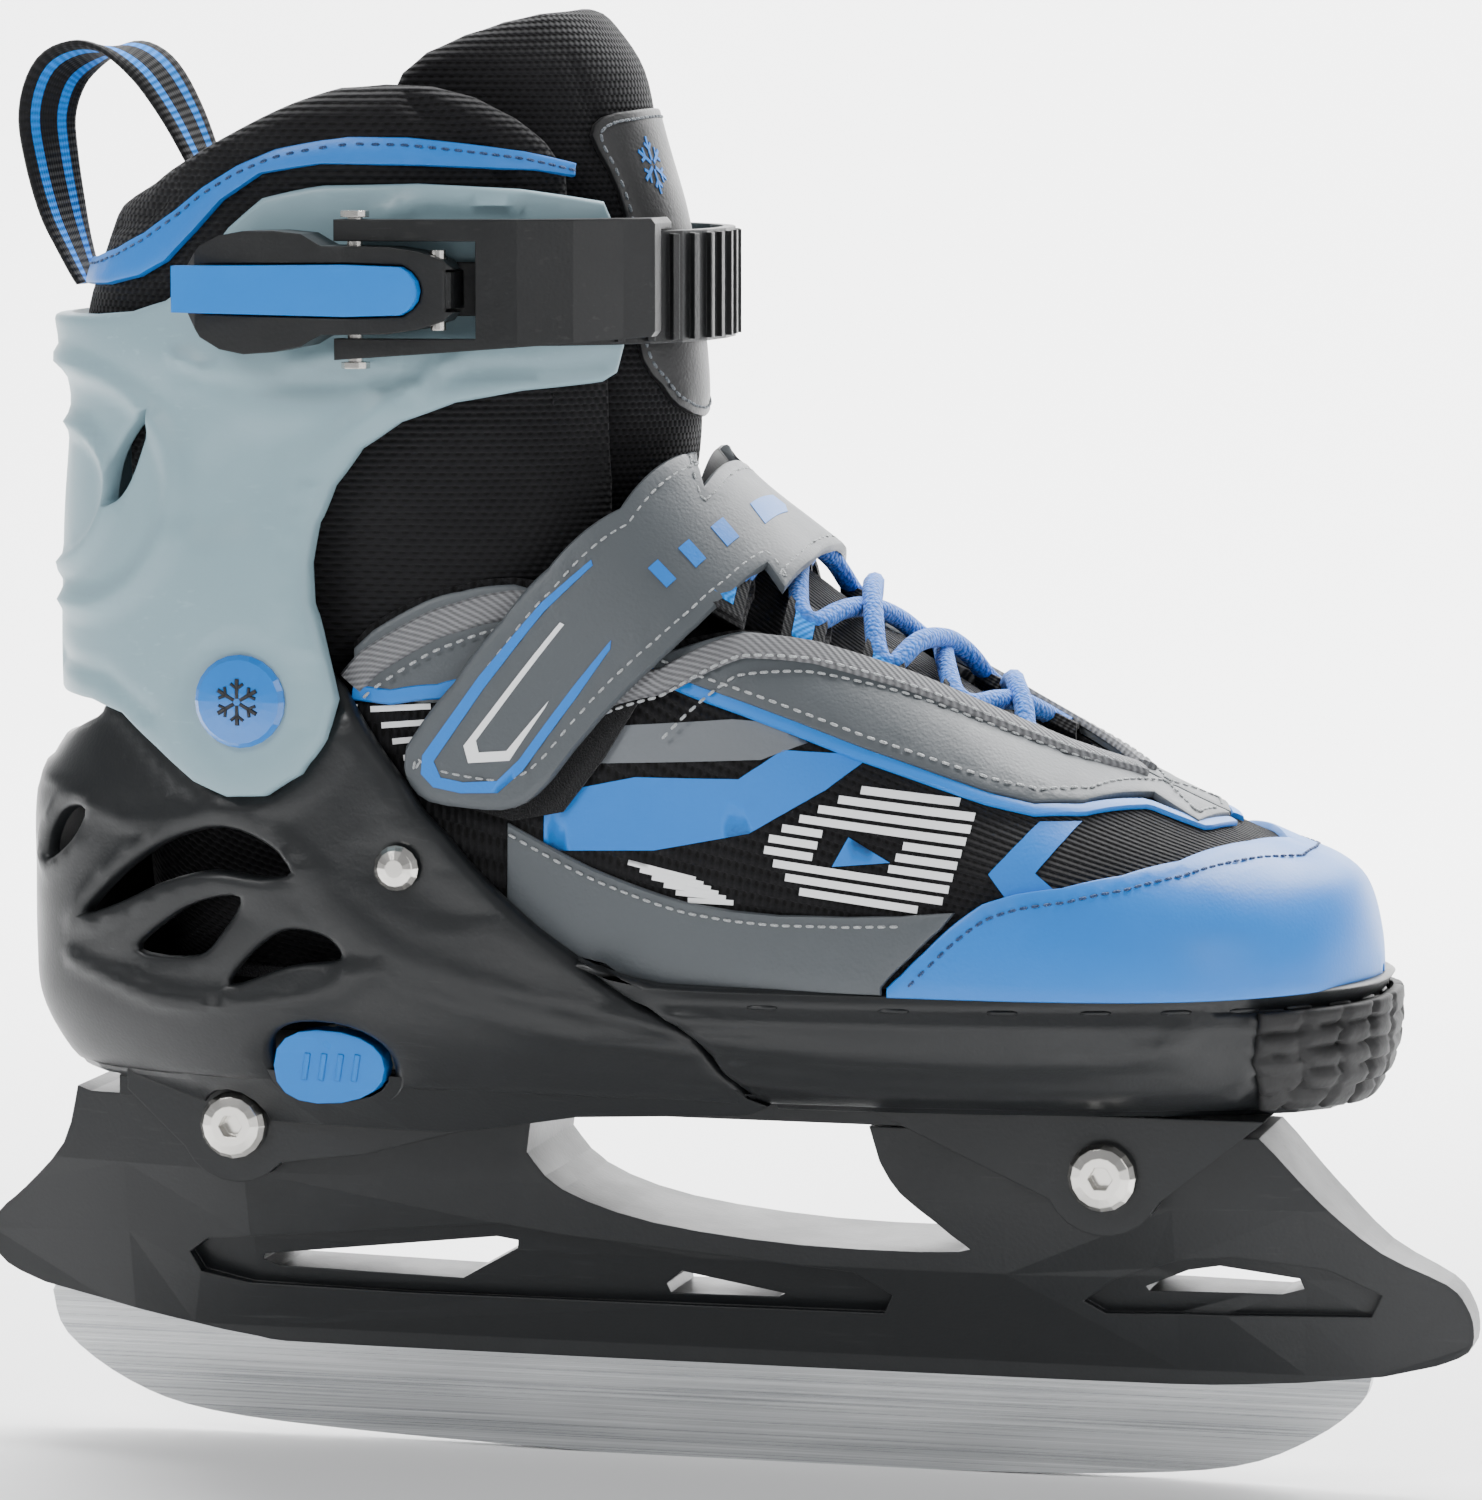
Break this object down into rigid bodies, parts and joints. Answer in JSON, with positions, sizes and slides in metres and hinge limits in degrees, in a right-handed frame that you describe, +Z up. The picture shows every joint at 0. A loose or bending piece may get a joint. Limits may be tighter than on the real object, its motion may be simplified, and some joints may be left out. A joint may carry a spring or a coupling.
{
  "type": "ice skate",
  "caption": "Size-adjustable soft-boot ice skate with a steel blade in a moulded holder, hinged cuff, ratchet buckle, hook-and-loop instep strap and laces.",
  "frame": {"origin": "middle of the blade's flat running edge, on the skate's centre plane", "axes": "+X towards the toe, +Z up, +Y towards the wearer's inner side (the buckle is on the outer, -Y side)"},
  "size_m": [0.294, 0.106, 0.28],
  "materials": {
    "shell_plastic": "satin moulded polypropylene",
    "cuff_plastic": "fine textured moulded plastic",
    "blue_plastic": "glossy moulded plastic",
    "bumper_rubber": "moulded rubber",
    "blade_steel": "brushed along the blade",
    "fastener_chrome": "nickel plated",
    "liner_mesh": "knitted spacer mesh",
    "blue_synthetic": "stitched synthetic leather",
    "grey_synthetic": "stitched synthetic leather",
    "upper_mesh": "sandwich mesh",
    "lace_cord": "braided cord",
    "black_webbing": "woven webbing",
    "footbed_foam": "fabric-faced foam"
  },
  "bodies": {
    "chassis": {"blade": "blade_steel", "blade_holder": "shell_plastic", "base_plate": "shell_plastic", "front_bolt": "fastener_chrome", "front_sleeve_nut": "fastener_chrome", "rear_bolt": "fastener_chrome", "rear_sleeve_nut": "fastener_chrome", "heel_shell": "shell_plastic", "wing_rivet_lateral": "fastener_chrome", "wing_rivet_medial": "fastener_chrome", "pivot_rivet_lateral": "fastener_chrome", "pivot_rivet_medial": "fastener_chrome", "liner_foot": "liner_mesh", "insole": "footbed_foam"},
    "button": {"size_button": "blue_plastic", "button_spring": "fastener_chrome"},
    "cuff": {"cuff": "cuff_plastic", "pivot_cap_lateral": "blue_plastic", "pivot_cap_medial": "blue_plastic", "liner_collar": "liner_mesh", "collar_trim": "blue_synthetic", "pull_loop": "black_webbing", "tongue": "liner_mesh", "tongue_shield": "grey_synthetic", "buckle_base": "fastener_chrome", "base_rivet_rear": "fastener_chrome", "base_rivet_front": "fastener_chrome", "lever_pin": "fastener_chrome", "ladder_rivet": "fastener_chrome"},
    "lever": {"buckle_lever": "shell_plastic", "lever_insert": "blue_plastic", "arm_pin": "fastener_chrome"},
    "arm": {"buckle_arm": "shell_plastic"},
    "ladder": {"ladder_strap": "shell_plastic"},
    "toe": {"toe_sole": "shell_plastic", "toe_bumper": "bumper_rubber", "upper": "upper_mesh", "toe_cap": "blue_synthetic", "rand_lateral": "grey_synthetic", "rand_medial": "grey_synthetic", "eyestay_lateral": "grey_synthetic", "eyestay_medial": "grey_synthetic", "loop_field": "black_webbing", "laces": "lace_cord", "strap_root": "grey_synthetic"},
    "instep": {"instep_strap": "grey_synthetic", "strap_hook_pad": "black_webbing"}
  },
  "joints": [
    {"name": "cuff_flex", "type": "hinge", "parent": "chassis", "child": "cuff", "pos_m": [-0.0816, 0, 0.1493], "axis": [0, 1, 0], "range_deg": [-4, 4]},
    {"name": "buckle_lever_swing", "type": "hinge", "parent": "cuff", "child": "lever", "pos_m": [-0.041, -0.0495, 0.227], "axis": [0, 0, 1], "range_deg": [0, 95]},
    {"name": "buckle_arm_swing", "type": "hinge", "parent": "lever", "child": "arm", "pos_m": [-0.057, -0.0495, 0.227], "axis": [0, 0, 1], "range_deg": [-95, 0]},
    {"name": "ladder_strap_swing", "type": "hinge", "parent": "cuff", "child": "ladder", "pos_m": [-0.038, 0.0455, 0.227], "axis": [0, 0, 1], "range_deg": [0, 12]},
    {"name": "toe_size_slide", "type": "slide", "parent": "chassis", "child": "toe", "axis": [1, 0, 0], "range_m": [0, 0.021]},
    {"name": "size_button_press", "type": "slide", "parent": "chassis", "child": "button", "axis": [0, 1, 0], "range_m": [0, 0.0024], "stiffness_N_per_m": 600},
    {"name": "instep_strap_peel", "type": "hinge", "parent": "toe", "child": "instep", "pos_m": [0.009, 0.014, 0.1848], "axis": [-0.7804, 0, 0.6253], "range_deg": [0, 75]}
  ],
  "couplings": [
    {"joint": "buckle_arm_swing", "follows": "buckle_lever_swing", "ratio": -1},
    {"joint": "ladder_strap_swing", "follows": "buckle_lever_swing", "ratio": 0.12}
  ]
}
